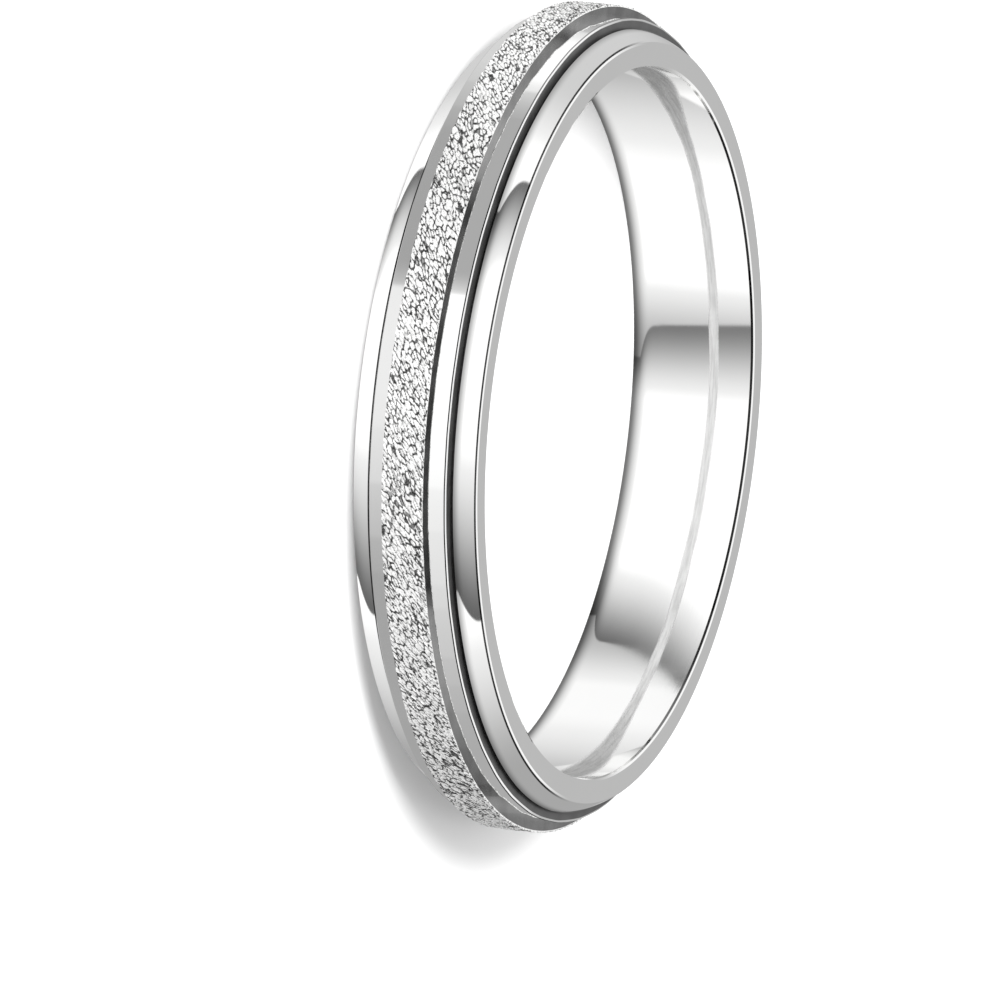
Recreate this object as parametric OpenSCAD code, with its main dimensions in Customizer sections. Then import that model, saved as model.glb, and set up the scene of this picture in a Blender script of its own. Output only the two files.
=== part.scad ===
/* [Finger hole] */
// Diameter of the finger hole
hole_d = 18.1; // [14:0.1:23]
// Length of the ring along its axis, from face to face
band_w = 3.35; // [2.6:0.05:8]

/* [Inner band] */
// Wall of the sleeve that the spinner runs on
sleeve_t = 0.35; // [0.2:0.05:0.6]
// Width of an end face, from the finger hole's wall to the crown
face_t = 0.63; // [0.5:0.01:0.7]
// Height of a rim's crest over the finger hole's wall
rim_t = 0.92; // [0.85:0.01:1.2]
// Length of a rim along the axis
rim_w = 0.52; // [0.5:0.01:0.8]
// Radius of the crown that each rim is turned to
crown_r = 3; // [2:0.1:6]
// Round on the edge between the finger hole and an end face
hole_round = 0.1; // [0.05:0.01:0.2]
// Round on the edge between an end face and the rim's crown
face_round = 0.12; // [0.05:0.01:0.25]
// Round on a rim's crest, beside the spinner
crest_round = 0.05; // [0.02:0.01:0.1]

/* [Spinner band] */
// Wall of the spinner under its plain shoulders
spinner_t = 0.79; // [0.5:0.01:1]
// Height of the raised frosted strip over the shoulders
strip_h = 0.3; // [0.1:0.05:0.8]
// Width of the raised frosted strip
strip_w = 1.1; // [0.5:0.02:1.5]
// Round on the strip's two top edges
strip_round = 0.04; // [0.02:0.01:0.1]
// Round on the spinner's four end edges
shoulder_round = 0.05; // [0.02:0.01:0.1]

/* [Running fit] */
// Clearance between the sleeve and the spinner's bore, on the radius
run_gap = 0.06; // [0.03:0.01:0.1]
// Clearance between the spinner and each rim, along the axis
side_gap = 0.1; // [0.05:0.01:0.2]

/* [Hidden] */
$fn = 128;

// How far a cutting shape reaches past the surface that it cuts
over = 0.2;

// Radii from the axis, and heights from the lower face
hole_r = hole_d / 2;
sleeve_r = hole_r + sleeve_t;
face_r = hole_r + face_t;
crest_r = hole_r + rim_t;
spinner_bore_r = sleeve_r + run_gap;
shoulder_r = spinner_bore_r + spinner_t;
strip_r = shoulder_r + strip_h;
mid_z = band_w / 2;
rim_z = band_w - rim_w;
spinner_w = band_w - 2 * (rim_w + side_gap);

// The crown is the arc of radius crown_r from the face's outer edge to the rim's crest, bulging outwards
crown_start = [face_r, band_w];
crown_end = [crest_r, rim_z];
crown_chord = crown_end - crown_start;
crown_rise = sqrt(pow(crown_r, 2) - pow(norm(crown_chord) / 2, 2));
crown_inward = [crown_chord.y, -crown_chord.x] / norm(crown_chord);
crown_c = (crown_start + crown_end) / 2 + crown_rise * crown_inward;

// How far a round stands proud of the crown where they touch, so that no sliver is left between them
hair = 0.00003;

// Distance from the axis to the centre of a round that touches the crown inside, at height z
function round_centre_r(z, radius) = crown_c.x + sqrt(pow(crown_r - radius + hair, 2) - pow(z - crown_c.y, 2));

// What a round takes off a square corner: the corner points along (toward_r, toward_z)
module square_corner_waste(corner, toward_r, toward_z, radius) {
    translate(corner) mirror([toward_r > 0 ? 1 : 0, 0]) mirror([0, toward_z > 0 ? 1 : 0]) difference() {
        translate([-over, -over]) square(radius + over);
        translate([radius, radius]) circle(radius);
    }
}

// What a round takes off the corner where the crown meets a flat side at height z
module crown_corner_waste(z, toward_z, radius) {
    centre = [round_centre_r(z - toward_z * radius, radius), z - toward_z * radius];
    out_of_crown = (centre - crown_c) / norm(centre - crown_c);
    on_crown = centre + (radius + over) * out_of_crown;
    past_side = [centre.x, z + toward_z * over];
    difference() {
        polygon([centre, past_side, [on_crown.x + over, past_side.y], [on_crown.x + over, on_crown.y], on_crown]);
        translate(centre) circle(radius);
    }
}

// Half section of the upper rim, from the finger hole's wall to the crown
module rim_section() {
    difference() {
        intersection() {
            translate([hole_r, rim_z]) square([rim_t + over, rim_w]);
            translate(crown_c) circle(crown_r);
        }
        crown_corner_waste(band_w, 1, face_round);
        crown_corner_waste(rim_z, -1, crest_round);
    }
}

// Mirrors what it is given from the upper half of the ring to the lower half, and keeps both
module both_halves() {
    children();
    translate([0, band_w]) mirror([0, 1]) children();
}

// Sleeve with a crowned rim at each end: the part that the finger goes through
module inner_band() {
    color("silver") rotate_extrude() difference() {
        union() {
            translate([hole_r, 0]) square([sleeve_t, band_w]);
            both_halves() rim_section();
        }
        both_halves() square_corner_waste([hole_r, band_w], -1, 1, hole_round);
    }
}

// Loose band that turns in the channel between the rims, with a raised frosted strip round its middle
module spinner_band() {
    color("gainsboro") rotate_extrude() difference() {
        union() {
            translate([spinner_bore_r, mid_z - spinner_w / 2]) square([spinner_t, spinner_w]);
            translate([spinner_bore_r, mid_z - strip_w / 2]) square([spinner_t + strip_h, strip_w]);
        }
        both_halves() {
            square_corner_waste([spinner_bore_r, mid_z + spinner_w / 2], -1, 1, shoulder_round);
            square_corner_waste([shoulder_r, mid_z + spinner_w / 2], 1, 1, shoulder_round);
            square_corner_waste([strip_r, mid_z + strip_w / 2], 1, 1, strip_round);
        }
    }
}

inner_band();
spinner_band();
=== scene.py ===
"""Dresses the spinner ring's solids: a mirror polished inner band, a turning spinner and its frosted strip.

The ring lies on its side on the floor, with its finger hole along +Z. Sizes in the dataclasses are in
millimetres, as in the part's source, and become metres when a mesh is made.
"""

import logging
import math
from dataclasses import dataclass
from enum import Enum

import bpy
import numpy as np
from mathutils import Matrix, Vector


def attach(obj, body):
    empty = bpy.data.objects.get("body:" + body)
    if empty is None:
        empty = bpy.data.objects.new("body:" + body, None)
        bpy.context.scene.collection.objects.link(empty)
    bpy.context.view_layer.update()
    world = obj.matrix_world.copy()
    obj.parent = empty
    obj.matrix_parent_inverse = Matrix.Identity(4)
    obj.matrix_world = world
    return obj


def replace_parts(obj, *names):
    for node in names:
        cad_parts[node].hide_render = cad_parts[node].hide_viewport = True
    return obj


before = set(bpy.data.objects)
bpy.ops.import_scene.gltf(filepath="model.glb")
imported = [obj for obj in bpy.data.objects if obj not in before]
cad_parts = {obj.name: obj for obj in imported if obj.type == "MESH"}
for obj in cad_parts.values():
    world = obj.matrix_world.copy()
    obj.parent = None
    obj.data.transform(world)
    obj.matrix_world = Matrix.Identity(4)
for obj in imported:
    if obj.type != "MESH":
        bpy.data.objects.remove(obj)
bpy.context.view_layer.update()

MM = 0.001
SEED = 41
FULL_TURN = 2 * math.pi
BAND_WIDTH = 3.35
BORE_RADIUS = 9.05

Value = bpy.types.NodeSocket | float | tuple[float, ...]

log = logging.getLogger("spinner_ring")


class Slot(Enum):
    """The record's material slots."""

    POLISHED = "polished_silver"
    FROSTED = "frosted_silver"


class Body(Enum):
    """The bodies that the pieces ride on."""

    BAND = "band"
    SPINNER = "spinner"


class Finish(Enum):
    """The spinner's materials, by their numbers on its faces. The wall and end materials are dark with
    painted shade.
    """

    POLISHED = 0
    WALL = 1
    END = 2


class NodeGraph:
    """Adds shader nodes to a node tree and wires them, with plain numbers set on the sockets."""

    def __init__(self, tree: bpy.types.NodeTree) -> None:
        """Empties the tree.

        Args:
            tree: The node tree of a material or of the world.
        """
        self.tree = tree
        tree.nodes.clear()

    def add(
        self, kind: str, inputs: dict[str | int, Value] | None = None, **settings: object
    ) -> bpy.types.Node:
        """Adds one node.

        Args:
            kind: The node's type name.
            inputs: For each input socket, by name or number, a constant or the socket that feeds it.
            settings: The node's own properties.

        Returns:
            The new node.
        """
        node = self.tree.nodes.new(kind)
        for name, value in settings.items():
            setattr(node, name, value)
        for name, value in (inputs or {}).items():
            self.feed(node.inputs[name], value)
        return node

    def feed(self, socket: bpy.types.NodeSocket, value: Value) -> None:
        """Links the socket to another socket, or sets its constant.

        Args:
            socket: The input socket.
            value: An output socket, a number or a tuple of numbers.
        """
        if isinstance(value, bpy.types.NodeSocket):
            self.tree.links.new(value, socket)
        else:
            socket.default_value = value

    def math(self, operation: str, first: Value, second: Value = 0.0) -> bpy.types.NodeSocket:
        """Returns the result of a Math node on two values."""
        return self.add("ShaderNodeMath", {0: first, 1: second}, operation=operation).outputs[0]

    def vector(self, operation: str, *values: Value, result: str = "Vector") -> bpy.types.NodeSocket:
        """Returns the named result of a Vector Math node on one or two vectors."""
        return self.add("ShaderNodeVectorMath", dict(enumerate(values)), operation=operation).outputs[result]

    def tinted(self, colour: tuple[float, float, float], tint: Value) -> bpy.types.NodeSocket:
        """Returns the colour times the tint."""
        inputs = {0: colour, "Scale": tint}
        return self.add("ShaderNodeVectorMath", inputs, operation="SCALE").outputs["Vector"]

    def noise(self, place: Value, scale: float, detail: float) -> bpy.types.NodeSocket:
        """Returns a noise texture's level, from 0 to 1."""
        inputs = {"Vector": place, "Scale": scale, "Detail": detail}
        return self.add("ShaderNodeTexNoise", inputs).outputs["Fac"]

    def bump(self, height: Value, strength: Value, distance: float) -> bpy.types.NodeSocket:
        """Returns the normal of a surface that rises by distance, in metres, where height is 1."""
        inputs = {"Height": height, "Strength": strength, "Distance": distance}
        return self.add("ShaderNodeBump", inputs).outputs["Normal"]

    def metal(self, colour: Value, metallic: Value, roughness: Value, normal: Value) -> None:
        """Adds a metal's shader and the material's output."""
        inputs = {"Base Color": colour, "Metallic": metallic, "Roughness": roughness, "Normal": normal}
        shader = self.add("ShaderNodeBsdfPrincipled", inputs)
        self.add("ShaderNodeOutputMaterial", {"Surface": shader.outputs["BSDF"]})

    def ease(
        self, value: Value, start: Value, end: Value, low: Value = 0.0, high: Value = 1.0
    ) -> bpy.types.NodeSocket:
        """Returns a smooth step: low before start, high after end, and an S-curve between them.

        Args:
            value: The socket that is stepped.
            start: Where the step leaves low.
            end: Where the step reaches high.
            low: The result before start.
            high: The result after end.

        Returns:
            The stepped value's socket.
        """
        inputs = {"Value": value, "From Min": start, "From Max": end, "To Min": low, "To Max": high}
        return self.add("ShaderNodeMapRange", inputs, interpolation_type="SMOOTHSTEP").outputs["Result"]

    def blend(self, factor: Value, first: Value, second: Value) -> bpy.types.NodeSocket:
        """Returns first where the factor is 0 and second where it is 1, and their mix between."""
        node = self.add("ShaderNodeMix", {"Factor": factor, "A": first, "B": second}, data_type="FLOAT")
        return node.outputs["Result"]

    def span(
        self, value: Value, lower: tuple[Value, Value], upper: tuple[Value, Value], top: float = 1.0
    ) -> bpy.types.NodeSocket:
        """Returns top between two soft edges and 0 beyond them.

        Args:
            value: The socket that is looked at.
            lower: Where the lower edge starts and ends.
            upper: Where the upper edge starts and ends.
            top: The result between the edges.

        Returns:
            The result's socket.
        """
        return self.math("MULTIPLY", self.ease(value, *lower), self.ease(value, *upper, top, 0.0))


def new_material(name: str) -> tuple[bpy.types.Material, NodeGraph, bpy.types.NodeSocket]:
    """Makes an empty material, and returns it with its nodes and the socket with Object coordinates."""
    material = bpy.data.materials.new(name)
    material.use_nodes = True
    graph = NodeGraph(material.node_tree)
    return material, graph, graph.add("ShaderNodeTexCoord").outputs["Object"]


@dataclass(frozen=True)
class PolishedSilver:
    """Mirror polished sterling silver, with faint polishing lines and, if asked for, a solder seam that
    carries a painted reflection towards its ends.
    """

    name: str = "polished_silver"
    colour: tuple[float, float, float] = (0.97, 0.97, 0.965)
    roughness: float = 0.035
    roughness_spread: float = 0.03
    cloud_scale: float = 420.0
    cloud_tint: float = 0.985
    line_stretch: tuple[float, float, float] = (0.12, 0.12, 6.0)
    line_scale: float = 9000.0
    line_strength: float = 0.003
    bump_distance: float = 0.00002
    seam_height: float | None = None
    seam_half_width: float = 0.12
    # The next two fields, and the seam's metallic and tint at its ends, paint a reflection: towards the ends
    # of the X axis the seam widens, lies higher and turns darker.
    seam_reflection_spread: float = 2.7
    seam_reflection_shift: float = 0.28
    seam_wobble: float = 0.03
    seam_wobble_scale: float = 350.0
    seam_edge: tuple[float, float] = (0.65, 1.25)
    seam_depth: tuple[float, float] = (0.08, 0.12)
    seam_metallic: float = 0.68
    # Painted reflection: the seam's metallic towards the ends of the X axis.
    seam_reflection_metallic: float = 0.9
    seam_roughness: float = 0.55
    # Painted reflection: how dark the seam turns towards the ends of the X axis.
    seam_reflection_tint: float = 0.66
    ridge_stretch: tuple[float, float, float] = (0.18, 0.18, 2.2)
    ridge_scale: float = 7000.0
    ridge_strength: float = 0.35
    ridge_tints: tuple[float, float] = (0.74, 0.96)

    def make(self) -> bpy.types.Material:
        """Builds the material.

        Returns:
            A metal whose roughness drifts in cloudy patches, with a bump of very fine lines. The seam is a
            band on the hole's wall at one height, with wavy edges, where the metal is rough and ridged.
            Towards the two ends of the X axis the seam carries a painted reflection: it widens, lies higher
            and turns darker and more metallic.
        """
        material, graph, place = new_material(self.name)
        cloud = graph.noise(place, self.cloud_scale, 4.0)
        height = graph.noise(graph.vector("MULTIPLY", place, self.line_stretch), self.line_scale, 3.0)
        roughness = graph.ease(cloud, 0.35, 0.75, self.roughness, self.roughness + self.roughness_spread)
        tint = graph.ease(cloud, 0.3, 0.7, self.cloud_tint, 1.0)
        strength: Value = self.line_strength
        metallic: Value = 1.0
        if self.seam_height is not None:
            seam, ridges, ends = self.seam_nodes(graph, place)
            roughness = graph.blend(seam, roughness, self.seam_roughness)
            height = graph.blend(seam, height, ridges)
            strength = graph.blend(seam, strength, self.ridge_strength)
            ridge_tint = graph.ease(ridges, 0.25, 0.7, *self.ridge_tints)
            # Painted reflection: towards the ends of the X axis the seam turns darker and more metallic.
            painted_reflection_tint = graph.ease(ends, 0.0, 1.0, 1.0, self.seam_reflection_tint)
            tint = graph.blend(seam, tint, graph.math("MULTIPLY", ridge_tint, painted_reflection_tint))
            seam_metallic = graph.ease(ends, 0.0, 0.3, self.seam_metallic, self.seam_reflection_metallic)
            metallic = graph.blend(seam, metallic, seam_metallic)
        normal = graph.bump(height, strength, self.bump_distance)
        graph.metal(graph.tinted(self.colour, tint), metallic, roughness, normal)
        return material

    def seam_nodes(self, graph: NodeGraph, place: bpy.types.NodeSocket) -> tuple[bpy.types.NodeSocket, ...]:
        """Adds the nodes of the solder seam.

        Args:
            graph: The material's nodes.
            place: The socket with Object coordinates.

        Returns:
            The mask, 1 inside the seam, the height of its ridges, and how near a point is to the two ends of
            the X axis, where the seam spreads, lies higher and darkens as a painted reflection, as sockets.
        """
        wobble = graph.noise(place, self.seam_wobble_scale, 3.0)
        parts = graph.add("ShaderNodeSeparateXYZ", {0: place}).outputs
        shift = graph.ease(wobble, 0.2, 0.8, -self.seam_wobble * MM, self.seam_wobble * MM)
        height = graph.math("ADD", parts["Z"], shift)
        share = graph.math("DIVIDE", parts["X"], BORE_RADIUS * MM)
        # This weights the seam's painted reflection: near 1 only towards the two ends of the X axis.
        ends = graph.math("POWER", graph.math("MULTIPLY", share, share), 4.0)
        highest = self.seam_height + self.seam_reflection_shift
        middle = graph.ease(ends, 0.0, 1.0, self.seam_height * MM, highest * MM)
        off_middle = graph.math("ABSOLUTE", graph.math("SUBTRACT", height, middle))
        widest = self.seam_half_width * (1 + self.seam_reflection_spread)
        half_width = graph.ease(ends, 0.0, 1.0, self.seam_half_width * MM, widest * MM)
        across = graph.ease(graph.math("DIVIDE", off_middle, half_width), *self.seam_edge, 1.0, 0.0)
        flat = graph.vector("MULTIPLY", place, (1.0, 1.0, 0.0))
        reach = graph.vector("LENGTH", flat, result="Value")
        near, far = ((BORE_RADIUS + depth) * MM for depth in self.seam_depth)
        inside = graph.ease(reach, near, far, 1.0, 0.0)
        ridges = graph.noise(graph.vector("MULTIPLY", place, self.ridge_stretch), self.ridge_scale, 5.0)
        return graph.math("MULTIPLY", across, inside), ridges, ends


@dataclass(frozen=True)
class TurnedSilverPaintedShade:
    """Silver as the cutter left it, duller than the polished metal, and dark with painted shade where it
    lines recesses.
    """

    name: str
    # Painted shade: the dark grey colour stands for the shade on the recessed wall and in the slot at the end
    # face.
    colour: tuple[float, float, float] = (0.25, 0.25, 0.25)
    metallic: float = 1.0
    roughness: float = 0.12
    roughness_spread: float = 0.06
    stain_scale: float = 1500.0
    stain_tints: tuple[float, float] = (0.75, 1.1)
    pit_scale: float = 22000.0
    pit_strength: float = 0.04
    pit_distance: float = 0.00001

    def make(self) -> bpy.types.Material:
        """Builds a dull metal with cloudy stains and fine pits, whose dark grey colour is painted shade."""
        material, graph, place = new_material(self.name)
        stains = graph.noise(place, self.stain_scale, 5.0)
        pits = graph.noise(place, self.pit_scale, 2.0)
        colour = graph.tinted(self.colour, graph.ease(stains, 0.3, 0.7, *self.stain_tints))
        roughness = graph.ease(stains, 0.3, 0.7, self.roughness, self.roughness + self.roughness_spread)
        normal = graph.bump(pits, self.pit_strength, self.pit_distance)
        graph.metal(colour, self.metallic, roughness, normal)
        return material


@dataclass(frozen=True)
class FrostedSilver:
    """Silver that is struck all over into bright grains, with painted shade in the creases and pits between
    them.
    """

    name: str = "frosted_silver"
    bright: tuple[float, float, float, float] = (1.0, 1.0, 0.995, 1.0)
    # Colour of the painted shade in the creases and pits between grains.
    dark: tuple[float, float, float, float] = (0.02, 0.02, 0.02, 1.0)
    metallic: float = 0.62
    roughness: float = 0.2
    roughness_spread: float = 0.2
    pit_scale: float = 26000.0
    pit_shade: float = 0.8
    pit_strength: float = 0.5
    pit_distance: float = 0.00002
    crease_shade_attribute: str = "crease_shade"

    def make(self) -> bpy.types.Material:
        """Builds a sparkling metal, dark with painted shade in its creases and pits, with a gloss that fine
        pits break up.
        """
        material, graph, place = new_material(self.name)
        crease_shade = graph.add("ShaderNodeAttribute", attribute_name=self.crease_shade_attribute).outputs["Fac"]
        pits = graph.noise(place, self.pit_scale, 3.0)
        pit_shade = graph.ease(pits, 0.3, 0.6, self.pit_shade, 1.0)
        # Painted shade: the colour turns dark in the creases and pits.
        shade = graph.math("MULTIPLY", graph.ease(crease_shade, 0.2, 0.6), pit_shade)
        colour = graph.add(
            "ShaderNodeMix", {"Factor": shade, "A": self.bright, "B": self.dark}, data_type="RGBA"
        ).outputs["Result"]
        roughness = graph.ease(pits, 0.3, 0.7, self.roughness, self.roughness + self.roughness_spread)
        graph.metal(colour, self.metallic, roughness, graph.bump(pits, self.pit_strength, self.pit_distance))
        return material


def arc(centre: tuple[float, float], radius: float, start: float, end: float, steps: int) -> np.ndarray:
    """Points on a circle's arc: centre plus radius times the cosine and sine of evenly spaced angles.

    Args:
        centre: Distance from the axis and height of the circle's centre.
        radius: The circle's radius.
        start: Angle of the first point in degrees, 0 pointing away from the axis and 90 up.
        end: Angle of the last point.
        steps: Number of chords.

    Returns:
        An array of steps + 1 points.
    """
    turn = np.radians(np.linspace(start, end, steps + 1))
    return np.column_stack([centre[0] + radius * np.cos(turn), centre[1] + radius * np.sin(turn)])


def facets(start: np.ndarray, *flats: tuple[float, float]) -> np.ndarray:
    """Small flats one after the other, as a burnisher leaves them along an edge.

    Each flat goes on from the last one's end by its length, at right angles to its slope: by minus the sine
    of the slope away from the axis, and by the cosine of the slope up.

    Args:
        start: Distance from the axis and height of the first point.
        flats: Each flat's slope, which is how far its outward direction is turned up, in degrees, and its
            length.

    Returns:
        An array of the start and each flat's end.
    """
    slopes, lengths = np.array(flats).T
    steps = np.column_stack([-np.sin(np.radians(slopes)), np.cos(np.radians(slopes))]) * lengths[:, None]
    return start + np.vstack([np.zeros((1, 2)), np.cumsum(steps, axis=0)])


def mirrored(points: np.ndarray, middle: float) -> np.ndarray:
    """The points mirrored in height about the middle, in reverse order, so that a loop goes on round."""
    return np.column_stack([points[::-1, 0], 2 * middle - points[::-1, 1]])


def ring_mesh(
    name: str, radius: np.ndarray, height: np.ndarray, corner: float, finishes: np.ndarray | None = None
) -> bpy.types.Mesh:
    """Closes a grid of rings into a solid's skin.

    The surface is a function of the turn and of the place along a closed section: a point lies at radius
    times the cosine and sine of the turn, and at its height. Both directions close on themselves.

    Args:
        name: The mesh's name.
        radius: Distance from the axis in millimetres, with a row for each turn step and a column for each
            point of the section.
        height: Height in millimetres, in the same layout.
        corner: Edges that turn by more than this many degrees stay sharp.
        finishes: For each section point, the number of the material of the faces that start there.

    Returns:
        The mesh in metres, smooth but for its corners. The section runs anticlockwise, so that faces point
        outwards.
    """
    turns, points = radius.shape
    angle = np.arange(turns)[:, None] * FULL_TURN / turns
    place = np.stack([radius * np.cos(angle), radius * np.sin(angle), height], axis=-1) * MM
    row, column = np.meshgrid(np.arange(turns), np.arange(points), indexing="ij")
    next_row, next_column = (row + 1) % turns, (column + 1) % points
    quads = np.stack(
        [
            row * points + column,
            next_row * points + column,
            next_row * points + next_column,
            row * points + next_column,
        ],
        axis=-1,
    ).reshape(-1, 4)
    mesh = bpy.data.meshes.new(name)
    mesh.vertices.add(turns * points)
    mesh.vertices.foreach_set("co", place.astype(np.float32).ravel())
    mesh.loops.add(quads.size)
    mesh.loops.foreach_set("vertex_index", quads.astype(np.int32).ravel())
    mesh.polygons.add(len(quads))
    mesh.polygons.foreach_set("loop_start", np.arange(0, quads.size, 4, dtype=np.int32))
    if finishes is not None:
        mesh.polygons.foreach_set("material_index", np.tile(finishes, turns).astype(np.int32))
    mesh.update(calc_edges=True)
    mesh.validate()
    mesh.shade_smooth()
    mesh.set_sharp_from_angle(angle=math.radians(corner))
    return mesh


def place_piece(
    mesh: bpy.types.Mesh, materials: list[bpy.types.Material], body: Body
) -> bpy.types.Object:
    """Puts a mesh in the scene as a piece of the ring.

    Args:
        mesh: The finished mesh.
        materials: Its materials, in the order of its faces' material numbers.
        body: The body that it rides on.

    Returns:
        The piece's object, at the origin.
    """
    piece = bpy.data.objects.new(mesh.name, mesh)
    bpy.context.scene.collection.objects.link(piece)
    for material in materials:
        mesh.materials.append(material)
    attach(piece, body.value)
    log.info("%s: %d faces, rides on %s", piece.name, len(mesh.polygons), body.value)
    return piece


@dataclass
class InnerBand:
    """The sleeve that the finger goes through, with a crowned rim at each end."""

    sleeve_radius: float = 9.40
    face_radius: float = 9.68
    crest_radius: float = 9.97
    rim_width: float = 0.52
    crown_radius: float = 3.0
    brow_flats: tuple[tuple[float, float], ...] = ((47, 0.05), (68, 0.055))
    hole_flats: tuple[tuple[float, float], ...] = ((19, 0.065), (68, 0.06))
    rear_hole_flats: tuple[tuple[float, float], ...] = ((80, 0.06),)
    flare_depth: float = 0.044
    flare_reach: float = 0.3
    comfort_depth: float = 0.045
    comfort_length: float = 0.8
    seam_below_face: float = 1.10
    crown_chords: int = 14
    wall_rows: int = 56
    turns: int = 640
    corner: float = 8.0

    @property
    def crest_height(self) -> float:
        """Height of the upper rim's crest, and of the side that it turns to the spinner."""
        return BAND_WIDTH - self.rim_width

    def crown_centre(self) -> np.ndarray:
        """Centre of the crown's arc, which goes from the face's plane to the rim's crest.

        Returns:
            The chord's middle, moved inwards at right angles to the chord until it is crown_radius from both
            ends.
        """
        start = np.array([self.face_radius, BAND_WIDTH])
        end = np.array([self.crest_radius, self.crest_height])
        chord = end - start
        length = np.linalg.norm(chord)
        rise = math.sqrt(self.crown_radius**2 - (length / 2) ** 2)
        return (start + end) / 2 + rise * np.array([chord[1], -chord[0]]) / length

    def rim_section(self, hole_flats: tuple[tuple[float, float], ...]) -> np.ndarray:
        """Points of an upper rim, from the sleeve up and over the crown to the hole's wall.

        Args:
            hole_flats: Slope and length of the flats between the hole's wall and the end face.

        Returns:
            An array of points.
        """
        crown = self.crown_centre()
        brow_height = BAND_WIDTH - facets(np.zeros(2), *self.brow_flats)[-1, 1]
        start, end = (
            math.degrees(math.asin((height - crown[1]) / self.crown_radius))
            for height in (self.crest_height, brow_height)
        )
        crown_arc = arc(crown, self.crown_radius, start, end, self.crown_chords)
        brow = facets(crown_arc[-1], *self.brow_flats)
        hole = facets(np.zeros(2), *hole_flats) * [-1, 1]
        hole += [BORE_RADIUS, BAND_WIDTH - hole[-1, 1]]
        return np.vstack([[self.sleeve_radius, self.crest_height], crown_arc, brow[1:], hole[::-1]])

    def section(self) -> np.ndarray:
        """The whole closed section, anticlockwise.

        Returns:
            The lower rim, the upper rim and the hole's wall. The wall opens towards its lower end by
            flare_depth times the square of the way down from the upper end, and by comfort_depth times the
            cube of the way from comfort_length down to the lower end. Both fade out over flare_reach.
        """
        upper = self.rim_section(self.hole_flats)
        lower = mirrored(self.rim_section(self.rear_hole_flats), BAND_WIDTH / 2)
        height = np.linspace(upper[-1, 1], lower[0, 1], self.wall_rows)[1:-1]
        wall = np.column_stack([np.full_like(height, BORE_RADIUS), height])
        loop = np.vstack([lower, upper, wall])
        down = 1 - loop[:, 1] / BAND_WIDTH
        to_end = np.clip(1 - loop[:, 1] / self.comfort_length, 0, 1)
        near_wall = np.clip(1 - (loop[:, 0] - BORE_RADIUS) / self.flare_reach, 0, 1)
        loop[:, 0] += near_wall * (self.flare_depth * down**2 + self.comfort_depth * to_end**3)
        return loop

    def build(self) -> bpy.types.Object:
        """Makes the band, which stands for its solid."""
        loop = self.section()
        radius = np.repeat(loop[None, :, 0], self.turns, axis=0)
        height = np.repeat(loop[None, :, 1], self.turns, axis=0)
        mesh = ring_mesh("polished_band", radius, height, self.corner)
        finish = PolishedSilver(name="polished_silver_band", seam_height=BAND_WIDTH - self.seam_below_face)
        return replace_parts(place_piece(mesh, [finish.make()], Body.BAND), "inner_band")


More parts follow.
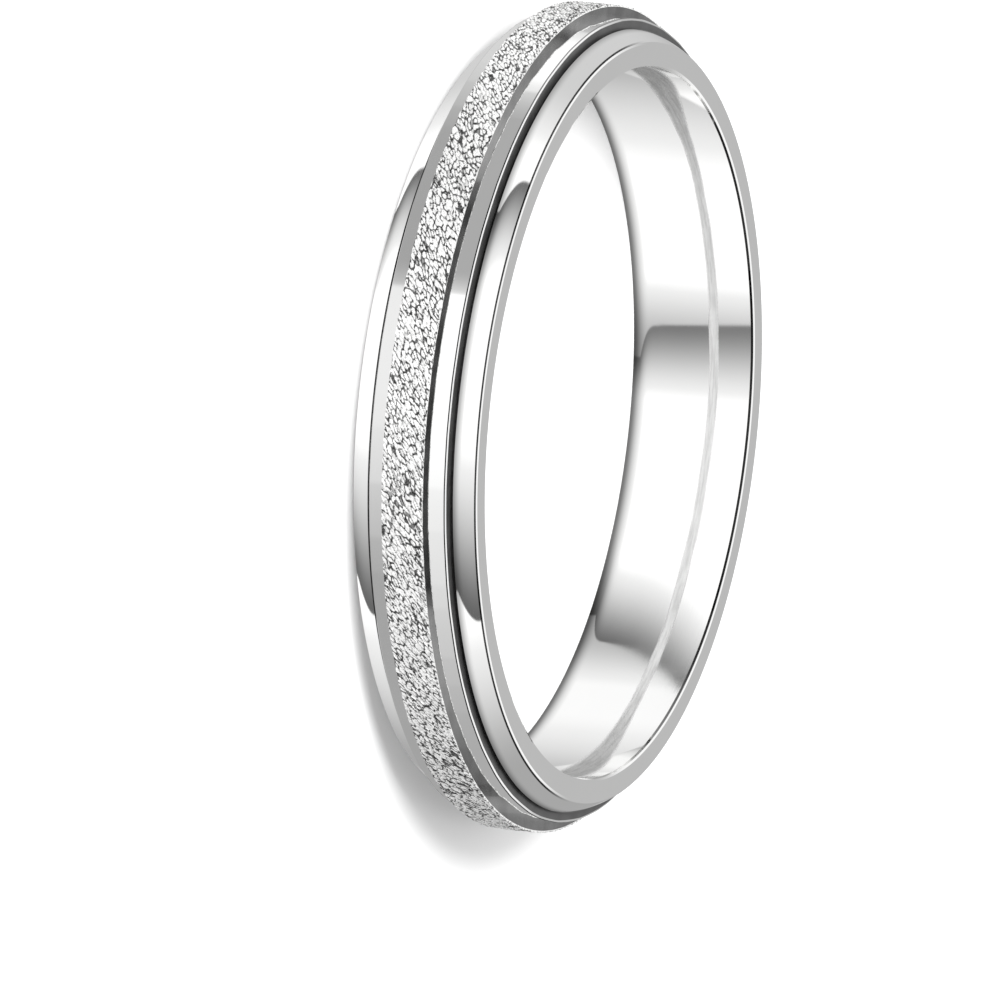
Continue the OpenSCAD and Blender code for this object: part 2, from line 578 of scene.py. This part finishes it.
@dataclass
class Spinner:
    """The loose band: polished shoulders with burnished flats, and a raised strip with turned walls. The
    walls and the end faces are dark with painted shade.
    """

    middle: float = BAND_WIDTH / 2
    bore_radius: float = 9.46
    shoulder_radius: float = 10.25
    strip_radius: float = 10.55
    width: float = 2.11
    strip_width: float = 1.1
    grain_height: float = 0.045
    skirt: float = 0.005
    wall_lean: float = 0.018
    front_taper: float = 0.018
    back_taper: float = -0.008
    bore_round: float = 0.05
    bore_chords: int = 12
    back_play: float = 0.05
    front_flats: tuple[tuple[float, float], ...] = ((19, 0.032), (68, 0.05))
    back_flats: tuple[tuple[float, float], ...] = ((22.5, 0.012), (68, 0.03))
    flats: int = 58
    flat_lengths: tuple[float, float] = (0.5, 1.5)
    flat_share: float = 0.4
    turns: int = 928
    corner: float = 8.0

    def half_section(
        self, taper: float, edge_flats: tuple[tuple[float, float], ...], play: float
    ) -> tuple[np.ndarray, np.ndarray, np.ndarray]:
        """Points of the section above the middle plane, from the strip's top to the bore.

        Args:
            taper: How far the shoulder's radius is over its mean at the strip, and under it at the end.
            edge_flats: Slope and length of the flats between the shoulder and the end face.
            play: How much the end face is turned back.

        Returns:
            The points, how far each one follows the burnished flats, from 0 to 1, and the number of the
            finish of the faces that start at each point.
        """
        end = self.middle + self.width / 2 - play
        wall = self.middle + self.strip_width / 2 - self.skirt
        top = self.strip_radius - self.grain_height
        strip = np.array([[top, self.middle], [top, wall]])
        foot = np.array([self.shoulder_radius + taper, wall - self.wall_lean])
        brink = np.array([self.shoulder_radius - taper, end - facets(np.zeros(2), *edge_flats)[-1, 1]])
        edge = facets(brink, *edge_flats)
        bore_centre = (self.bore_radius + self.bore_round, end - self.bore_round)
        bore = arc(bore_centre, self.bore_round, 90, 180, self.bore_chords)
        parts = [
            (strip[:1], 0.0, Finish.POLISHED),
            (strip[1:], 0.0, Finish.WALL),
            (np.vstack([foot, edge[:-1]]), 1.0, Finish.POLISHED),
            (edge[-1:], 1.0, Finish.END),
            (bore, 0.0, Finish.POLISHED),
        ]
        points = np.vstack([part[0] for part in parts])
        follow = np.concatenate([np.full(len(part[0]), part[1]) for part in parts])
        finish = np.concatenate([np.full(len(part[0]), part[2].value) for part in parts])
        return points, follow, finish

    def flat_depth(self, angle: np.ndarray, seed: int) -> np.ndarray:
        """How far the burnished flats lie below the turned shoulder.

        A flat is a chord between two random turns. The shoulder's radius there is flat_share of the way from
        the circle to the chord, so the depth is radius times flat_share times one less the ratio of the
        cosine of half the flat's turn to the cosine of the turn from its middle.

        Args:
            angle: The turns, in radians, in rising order.
            seed: Seed of the random edges between flats.

        Returns:
            The depth at each turn, in millimetres.
        """
        widths = np.random.default_rng(seed).uniform(*self.flat_lengths, self.flats)
        edges = np.concatenate([[0.0], np.cumsum(widths)]) * FULL_TURN / widths.sum()
        index = np.clip(np.searchsorted(edges, angle, side="right") - 1, 0, self.flats - 1)
        half = (edges[index + 1] - edges[index]) / 2
        off_middle = angle - (edges[index] + edges[index + 1]) / 2
        return self.shoulder_radius * self.flat_share * (1 - np.cos(half) / np.cos(off_middle))

    def build(self) -> bpy.types.Object:
        """Makes the spinner without its grains. It stands for the spinner's solid."""
        upper, upper_follow, upper_finish = self.half_section(self.front_taper, self.front_flats, 0.0)
        lower, lower_follow, lower_finish = self.half_section(
            self.back_taper, self.back_flats, self.back_play
        )
        loop = np.vstack([upper, mirrored(lower, self.middle)[:-1]])
        above = np.arange(len(loop)) < len(upper)
        follow = np.concatenate([upper_follow, lower_follow[::-1][:-1]])
        finish = np.concatenate([upper_finish[:-1], lower_finish[::-1]])
        angle = np.arange(self.turns) * FULL_TURN / self.turns
        upper_cut, lower_cut = (self.flat_depth(angle, seed)[:, None] for seed in (SEED, SEED + 1))
        radius = loop[None, :, 0] - follow * np.where(above, upper_cut, lower_cut)
        height = np.repeat(loop[None, :, 1], self.turns, axis=0)
        mesh = ring_mesh("polished_spinner", radius, height, self.corner, finish)
        # The wall and end materials paint shade: dark grey for the recess beside the strip, near black for
        # the end face in the slot beside the rim.
        materials = [
            PolishedSilver(name="polished_silver_spinner").make(),
            TurnedSilverPaintedShade(name="turned_wall_painted_shade").make(),
            TurnedSilverPaintedShade(name="turned_end_painted_shade", colour=(0.09, 0.09, 0.09), metallic=0.6, roughness=0.4).make(),
        ]
        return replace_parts(place_piece(mesh, materials, Body.SPINNER), "spinner_band")


@dataclass
class FrostedStrip:
    """The bright grains on the spinner's raised strip."""

    middle: float = BAND_WIDTH / 2
    width: float = 1.12
    top_radius: float = 10.544
    grain_height: float = 0.045
    root: float = 0.015
    grain_width: float = 0.13
    grain_length: float = 0.13
    lean: float = -1.2
    dome: float = 0.55
    dome_reach: float = 0.4
    lift_height: float = 0.3
    tilt_height: float = 0.5
    sunk: float = 0.07
    pit_depth: float = 1.6
    pit_slope: float = 3.0
    crease_shade_reach: float = 0.42
    least_crease_shade: float = 0.35
    crease_shade_growth: float = 1.5
    ragged: float = 0.02
    ragged_run: int = 5
    turns: int = 2300
    rows: int = 38
    corner: float = 35.0

    def grains(self, along: np.ndarray, across: np.ndarray) -> tuple[np.ndarray, np.ndarray]:
        """Heights of the grains, from a leaning lattice with one random grain centre in each cell.

        Each point belongs to the nearest centre. The height rises with the square root of how much farther
        the second nearest centre is, so grains are domes with creases between them, and each grain is also
        lifted and tilted at random. A crease's painted shade grows with how much the two grains beside it
        differ in lift, as a step between them would shade it. The few grains that are lifted least are sunk
        as pits, which get painted shade as well.

        Args:
            along: Places round the ring, in cells.
            across: Places across the strip, in cells.

        Returns:
            The height from 0 to 1, and the painted shade, which is 1 in a deep crease or a pit and 0 on a
            grain.
        """
        random = np.random.default_rng(SEED)
        count, lanes = self.cells_round(), int(across.max()) + 4
        jitter, tilt = random.uniform(0, 1, (2, count, lanes)), random.uniform(-1, 1, (2, count, lanes))
        lift = random.uniform(0, 1, (count, lanes))
        column, lane = np.floor(along).astype(int), np.floor(across).astype(int) + 1
        nearest, second = np.full((2, *along.shape), np.inf)
        own, beside, slant = np.zeros((3, *along.shape))
        for step in range(9):
            i, j = column + step % 3 - 1, lane + step // 3 - 1
            cell = (i % count, j)
            x, y = i + jitter[0][cell] - along, j - 1 + jitter[1][cell] - across
            distance = np.hypot(x, y)
            closer, next_closest = distance < nearest, distance < second
            beside = np.where(closer, own, np.where(next_closest, lift[cell], beside))
            second = np.where(closer, nearest, np.minimum(second, distance))
            own = np.where(closer, lift[cell], own)
            slant = np.where(closer, tilt[0][cell] * x + tilt[1][cell] * y, slant)
            nearest = np.minimum(nearest, distance)
        crease = second - nearest
        pit = (own < self.sunk) * np.clip(self.pit_depth - self.pit_slope * nearest, 0, 1)
        dome = self.dome * np.sqrt(np.clip(crease / self.dome_reach, 0, 1))
        height = dome + self.lift_height * own + self.tilt_height * slant - pit
        # Painted shade in the creases, darker where the grains beside differ in lift, and in the pits.
        depth = np.clip(self.least_crease_shade + self.crease_shade_growth * np.abs(own - beside), 0, 1)
        crease_shade = (1 - np.clip(crease / self.crease_shade_reach, 0, 1)) * depth
        return np.clip(height, 0, 1), np.maximum(crease_shade, pit)

    def cells_round(self) -> int:
        """Number of grain cells round the ring."""
        return round(FULL_TURN * self.top_radius / self.grain_width)

    def edge_wander(self, seed: int) -> np.ndarray:
        """How far the strip's edge steps back: random values, averaged over ragged_run turn steps."""
        noise = np.random.default_rng(seed).uniform(0, 1, self.turns)
        return self.ragged * sum(np.roll(noise, step) for step in range(self.ragged_run)) / self.ragged_run

    def build(self) -> bpy.types.Object:
        """Makes the grains as one closed skin over the strip.

        Returns:
            The piece. Its outer side is the grain height over turn and width, and its under side is plain.
        """
        turn = np.arange(self.turns)[:, None] / self.turns
        share = np.linspace(-1, 1, self.rows)[None, :]
        upper_step, lower_step = (self.edge_wander(seed)[:, None] for seed in (SEED + 2, SEED + 3))
        height = self.middle + share * (self.width / 2 - np.where(share > 0, upper_step, lower_step))
        across = (height - self.middle + self.width / 2) / self.grain_length
        along = turn * self.cells_round() + self.lean * across
        grain, crease_shade = self.grains(along, across)
        radius = self.top_radius - self.grain_height * (1 - grain)
        base = np.full((self.turns, 2), self.top_radius - self.grain_height - self.root)
        radius = np.hstack([radius, base])
        height = np.hstack([height, height[:, [-1, 0]]])
        crease_shade = np.hstack([crease_shade, np.zeros((self.turns, 2))])
        mesh = ring_mesh("frosted_strip", radius, height, self.corner)
        # The painted shade of creases and pits goes on the mesh, for the frosted material to darken its
        # colour.
        depth = mesh.attributes.new(FrostedSilver.crease_shade_attribute, "FLOAT", "POINT")
        depth.data.foreach_set("value", crease_shade.astype(np.float32).ravel())
        return place_piece(mesh, [FrostedSilver().make()], Body.SPINNER)


@dataclass(frozen=True)
class Viewpoint:
    """The camera: long lens, above the floor, rolled so that the ring's axis points right in the picture."""

    elevation: float = 21.5
    roll: float = 5.8
    distance: float = 700.0
    frame_width: float = 25.315
    clip_near: float = 0.01
    clip_far: float = 10.0
    face_right: float = 3.076
    face_up: float = 1.949

    def axes(self) -> tuple[Vector, Vector, Vector]:
        """The camera's right, up and backward directions.

        Returns:
            Three unit vectors. The picture's right is the ring's axis as the camera sees it, turned by roll.
        """
        lift, roll = math.radians(self.elevation), math.radians(self.roll)
        axis = Vector((0, math.sin(lift), math.cos(lift)))
        side = Vector((1, 0, 0))
        right = math.cos(roll) * axis - math.sin(roll) * side
        up = -math.sin(roll) * axis - math.cos(roll) * side
        return right, up, right.cross(up)

    def make(self) -> bpy.types.Object:
        """Places the camera and makes it the scene's."""
        right, up, back = self.axes()
        aim = Vector((0, 0, BAND_WIDTH)) - self.face_right * right - self.face_up * up
        data = bpy.data.cameras.new("camera")
        data.lens = data.sensor_width * self.distance / self.frame_width
        data.clip_start, data.clip_end = self.clip_near, self.clip_far
        camera = bpy.data.objects.new("camera", data)
        bpy.context.scene.collection.objects.link(camera)
        camera.matrix_world = Matrix.Translation(MM * (aim + self.distance * back)) @ Matrix(
            (right, up, back)
        ).transposed().to_4x4()
        bpy.context.scene.camera = camera
        return camera


@dataclass(frozen=True)
class SoftBox:
    """Soft box with a feathered edge at each side, given by the turns, in degrees, that mirror it."""

    start: float
    end: float
    feather_in: float
    feather_out: float
    grey: float = 1.0


@dataclass(frozen=True)
class Backdrop:
    """Plain grey room with soft boxes in it, as one row of the studio."""

    grey: float
    boxes: tuple[SoftBox, ...]

    def lit(self, graph: NodeGraph, turn: Value) -> Value:
        """Returns the brightness along the row, for the socket with the turn."""
        row: Value = self.grey
        for box in self.boxes:
            lower = (box.start, box.start + box.feather_in)
            upper = (box.end - box.feather_out, box.end)
            row = graph.blend(graph.span(turn, lower, upper), row, box.grey)
        return row


@dataclass(frozen=True)
class WindowEdge:
    """Side edge of a tall window in the studio, given by the turn, in degrees, that mirrors it.

    The edge stands at base, plus slant times the rise and bow times the rise squared down to a rise of foot,
    from where it goes straight down. Towards the window's end it rounds off: from one rise to another it
    moves by corner, as a power of the way between them.
    """

    base: float
    corner: float
    corner_rises: tuple[float, float]
    corner_power: float = 2.0
    slant: float = 0.0
    bow: float = 0.0
    foot: float = -1.13

    def turn_at(self, graph: NodeGraph, rise: Value) -> bpy.types.NodeSocket:
        """Returns the edge's turn, for the socket with the rise."""
        start, end = self.corner_rises
        way = graph.add("ShaderNodeMapRange", {"Value": rise, "From Min": start, "From Max": end})
        rounding = graph.math("POWER", way.outputs["Result"], self.corner_power)
        along = graph.math("MAXIMUM", rise, self.foot)
        slope = graph.math("ADD", self.slant, graph.math("MULTIPLY", along, self.bow))
        straight = graph.math("ADD", graph.math("MULTIPLY", along, slope), self.base)
        return graph.math("ADD", graph.math("MULTIPLY", rounding, self.corner), straight)


@dataclass(frozen=True)
class Window:
    """Tall window with two sharp side edges, dim just inside them and white in its middle."""

    left: WindowEdge
    right: WindowEdge
    dim_right: float
    dim_left: float = 0.12
    edge_width: float = 0.5
    left_fade: tuple[float, float] = (-1.5, 16.5)
    right_fade_start: float = 3.6
    right_fade_past: float = 0.6

    def lit(self, graph: NodeGraph, turn: Value, rise: Value, row: Value) -> bpy.types.NodeSocket:
        """Sets the window into a row of the studio.

        Args:
            graph: The world's nodes.
            turn: The socket with the turn.
            rise: The socket with the rise.
            row: The brightness round the window.

        Returns:
            The brightness with the window in it.
        """
        left, right = self.left.turn_at(graph, rise), self.right.turn_at(graph, rise)
        inside = graph.span(
            turn,
            (left, graph.math("ADD", left, self.edge_width)),
            (graph.math("SUBTRACT", right, self.edge_width), right),
        )
        fade_start, fade_end = (graph.math("ADD", left, past) for past in self.left_fade)
        fade_in = graph.ease(turn, fade_start, fade_end, self.dim_left, 1.0)
        past_right = graph.math("ADD", right, self.right_fade_past)
        fade_out = graph.ease(turn, self.right_fade_start, past_right, 1.0, self.dim_right)
        return graph.blend(inside, row, graph.math("MINIMUM", fade_in, fade_out))


@dataclass(frozen=True)
class StudioWorld:
    """Soft boxes and dark flags round the ring, painted on the world for what the polished metal mirrors.

    A place on the world is named by the metal's slope that mirrors it to the camera: rise is how far the
    slope tips up from level, and turn how far it is turned away from the camera's side, both in degrees.
    A pair of rises or turns says where a soft edge starts and ends. Such an edge has the name of the row that
    begins there, going up.
    """

    toward_camera: Vector
    level_room: Backdrop = Backdrop(0.48, (SoftBox(-85, -36, 30, 12, 0.95), SoftBox(13, 82, 13, 40)))
    front_room: Backdrop = Backdrop(0.42, (SoftBox(-76, -46, 10, 10), SoftBox(-19, 58, 4, 58)))
    back_room: Backdrop = Backdrop(0.38, (SoftBox(-95, -40, 25, 20, 0.68), SoftBox(-20, 30, 6, 32, 0.88)))
    crown_room: Backdrop = Backdrop(0.4, (SoftBox(-110, -20, 30, 10, 0.65), SoftBox(-58, 66, 18, 36)))
    level_window: Window = Window(
        WindowEdge(-44.1, 5.2, (-1.13, -6.6), slant=-10.4, bow=-4.6),
        WindowEdge(18.1, -5.5, (-1.13, -6.6), slant=1.2),
        dim_right=0.18,
    )
    crown_window: Window = Window(
        WindowEdge(-36.7, 6.5, (33.0, 24.3), corner_power=3.0),
        WindowEdge(33.5, -5.5, (33.0, 24.0)),
        dim_right=0.13,
    )
    crown_to_crown: float = 57.3
    under_shade: float = 0.17
    under_rises: tuple[float, float] = (-10.4, -3.0)
    level_rises: tuple[float, float] = (-24.0, -20.0)
    back_rises: tuple[float, float] = (0.6, 1.2)
    front_rises: tuple[float, float] = (2.4, 3.0)
    crown_rises: tuple[float, float] = (10.0, 18.0)
    low_flag_rises: tuple[tuple[float, float], ...] = ((13.0, 15.0), (21.0, 27.0))
    low_flag_turns: tuple[float, float] = (-65.0, -38.0)
    low_flag_depths: tuple[float, float] = (0.6, 0.97)
    high_flag_rises: tuple[tuple[float, float], ...] = ((45.8, 46.4), (47.6, 48.2))
    high_flag_depth: float = 0.95
    high_flag_turns: tuple[float, float] = (74.0, 86.0)
    white_rises: tuple[float, float] = (50.0, 58.0)
    white_turns: tuple[float, float] = (70.0, 86.0)
    face_rises: tuple[float, float] = (80.0, 89.0)
    face_grey: float = 0.505
    far_reach: tuple[float, float] = (0.06, 0.2)
    far_grey: float = 0.7
    glare_from: float = 0.9
    glare: float = 0.12
    floor_light: float = 1.0

    def slopes(self, graph: NodeGraph) -> tuple[bpy.types.NodeSocket, ...]:
        """Adds the nodes that find the slope which mirrors each direction to the camera.

        Args:
            graph: The world's nodes.

        Returns:
            The slope's rise and turn, and the length of the direction plus the one towards the camera, which
            falls to 0 straight behind the ring, as sockets.
        """
        direction = graph.add("ShaderNodeTexCoord").outputs["Generated"]
        between = graph.vector("ADD", direction, self.toward_camera)
        parts = graph.add("ShaderNodeSeparateXYZ", {0: graph.vector("NORMALIZE", between)}).outputs
        rise = graph.math("DEGREES", graph.math("ARCSINE", parts["Z"]))
        away = graph.math("MULTIPLY", parts["Y"], -1.0)
        turn = graph.math("DEGREES", graph.math("ARCTAN2", parts["X"], away))
        return rise, turn, graph.vector("LENGTH", between, result="Value")

    def glow(self, graph: NodeGraph) -> bpy.types.NodeSocket:
        """Adds the nodes that give the world's brightness.

        Args:
            graph: The world's nodes.

        Returns:
            The brightness. From the lowest rise up come the back crown's row, the level row for the hole's
            wall, which is dark at its lower end, and the rows of the spinner's back shoulder, its front
            shoulder and the front crown, with dark flags below and above the last. Above them it is white,
            and grey for the end face. The brightest places get a glare that is brighter than white.
        """
        rise, turn, length = self.slopes(graph)
        level, front, back, crown = (
            room.lit(graph, turn)
            for room in (self.level_room, self.front_room, self.back_room, self.crown_room)
        )
        level = self.level_window.lit(graph, turn, rise, level)
        level = graph.math("MULTIPLY", level, graph.ease(rise, *self.under_rises, self.under_shade, 1.0))
        behind = graph.math("LESS_THAN", rise, 0.0)
        off_crest = graph.blend(behind, rise, graph.math("ADD", rise, self.crown_to_crown))
        crown = self.crown_window.lit(graph, turn, off_crest, crown)
        glow = graph.blend(graph.ease(rise, *self.level_rises, 1.0, 0.0), level, crown)
        glow = graph.blend(graph.ease(rise, *self.back_rises), glow, back)
        glow = graph.blend(graph.ease(rise, *self.front_rises), glow, front)
        glow = graph.blend(graph.ease(rise, *self.crown_rises), glow, crown)
        off_side = graph.math("ABSOLUTE", turn)
        low_flag = graph.math(
            "MULTIPLY",
            graph.span(rise, *self.low_flag_rises),
            graph.ease(turn, *self.low_flag_turns, *self.low_flag_depths),
        )
        high_flag = graph.math(
            "MULTIPLY",
            graph.span(rise, *self.high_flag_rises, self.high_flag_depth),
            graph.ease(off_side, *self.high_flag_turns, 1.0, 0.0),
        )
        for shade in (low_flag, high_flag):
            glow = graph.math("MULTIPLY", glow, graph.math("SUBTRACT", 1.0, shade))
        glow = graph.math("ADD", glow, graph.ease(glow, self.glare_from, 1.0, 0.0, self.glare))
        white = graph.ease(off_side, *self.white_turns, 1.0, self.face_grey)
        glow = graph.blend(graph.ease(rise, *self.white_rises), glow, white)
        glow = graph.blend(graph.ease(rise, *self.face_rises), glow, self.face_grey)
        return graph.blend(graph.ease(length, *self.far_reach, 1.0, 0.0), glow, self.far_grey)

    def make(self) -> bpy.types.World:
        """Makes the world: the painted studio for mirrored light, and even light for the floor."""
        world = bpy.data.worlds.new("studio")
        world.use_nodes = True
        graph = NodeGraph(world.node_tree)
        path = graph.add("ShaderNodeLightPath").outputs
        seen = graph.blend(path["Is Diffuse Ray"], self.glow(graph), self.floor_light)
        seen = graph.blend(path["Is Camera Ray"], seen, 1.0)
        background = graph.add("ShaderNodeBackground", {"Color": seen})
        graph.add("ShaderNodeOutputWorld", {"Surface": background.outputs["Background"]})
        bpy.context.scene.world = world
        return world


@dataclass(frozen=True)
class Studio:
    """Floor, key light, world and camera."""

    floor_radius: float = 3000.0
    floor_sides: int = 96
    floor_colour: tuple[float, float, float, float] = (0.9, 0.9, 0.9, 1.0)
    key_from: tuple[float, float, float] = (-0.42, -0.55, 0.72)
    key_distance: float = 300.0
    key_size: float = 150.0
    key_power: float = 1.0

    def make_floor(self) -> bpy.types.Object:
        """Makes the floor, a plain disc under the ring. The metal mirrors the painted world in its stead."""
        turn = np.linspace(0, FULL_TURN, self.floor_sides, endpoint=False)
        rim = MM * self.floor_radius * np.column_stack([np.cos(turn), np.sin(turn), np.zeros_like(turn)])
        mesh = bpy.data.meshes.new("floor")
        mesh.from_pydata(rim.tolist(), [], [list(range(len(rim)))])
        floor = bpy.data.objects.new("floor", mesh)
        bpy.context.scene.collection.objects.link(floor)
        floor.visible_glossy = False
        material = bpy.data.materials.new("pale_floor")
        material.use_nodes = True
        graph = NodeGraph(material.node_tree)
        shader = graph.add("ShaderNodeBsdfDiffuse", {"Color": self.floor_colour})
        graph.add("ShaderNodeOutputMaterial", {"Surface": shader.outputs["BSDF"]})
        mesh.materials.append(material)
        return floor

    def make_key(self) -> bpy.types.Object:
        """Makes the key light, a soft box that the metal doesn't mirror, for the shadow on the floor."""
        data = bpy.data.lights.new("key", "AREA")
        data.shape = "DISK"
        data.size = MM * self.key_size
        data.energy = self.key_power
        key = bpy.data.objects.new("key", data)
        bpy.context.scene.collection.objects.link(key)
        toward = Vector(self.key_from).normalized()
        key.location = MM * self.key_distance * toward
        key.rotation_mode = "QUATERNION"
        key.rotation_quaternion = toward.to_track_quat("Z", "Y")
        key.visible_glossy = False
        key.visible_camera = False
        return key

    def build(self) -> None:
        """Builds the studio round the ring."""
        self.make_floor()
        self.make_key()
        viewpoint = Viewpoint()
        viewpoint.make()
        StudioWorld(viewpoint.axes()[2]).make()
        bpy.context.scene.view_settings.view_transform = "Standard"
        log.info("studio: floor, key light, world and camera")


def main() -> None:
    """Builds the ring's pieces in order, then the studio."""
    logging.basicConfig(level=logging.INFO, format="%(name)s: %(message)s")
    InnerBand().build()
    Spinner().build()
    FrostedStrip().build()
    Studio().build()


if __name__ == "__main__":
    main()
